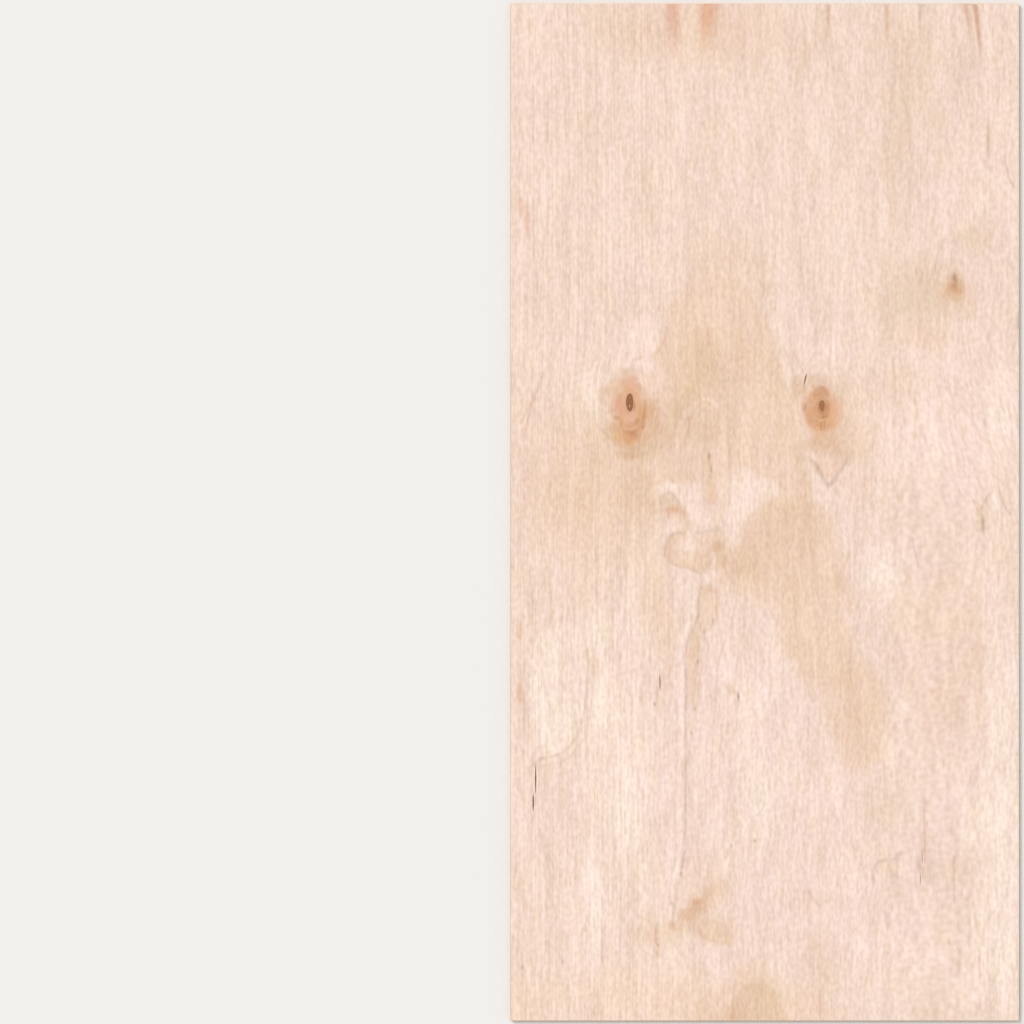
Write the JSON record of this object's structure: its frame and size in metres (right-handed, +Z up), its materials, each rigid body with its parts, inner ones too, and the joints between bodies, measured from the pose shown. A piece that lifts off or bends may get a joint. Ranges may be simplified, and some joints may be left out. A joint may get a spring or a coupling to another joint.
{
  "type": "plywood sheet",
  "caption": "Full flat sheet of birch plywood with sawn edges that show the crossed plies, knots and open splits in the face veneer.",
  "frame": {"origin": "middle of the underside, on the surface that the sheet lies on", "axes": "+Z up through the plies, +Y along the length and the face grain (up in the picture), +X across the sheet (to the right in the picture)"},
  "size_m": [1.22, 2.44, 0.018],
  "materials": {
    "birch_plywood": "sanded, unfinished birch veneer, matt to faintly silky along the grain"
  },
  "bodies": {
    "root": {"plywood_sheet": "birch_plywood"}
  },
  "joints": []
}
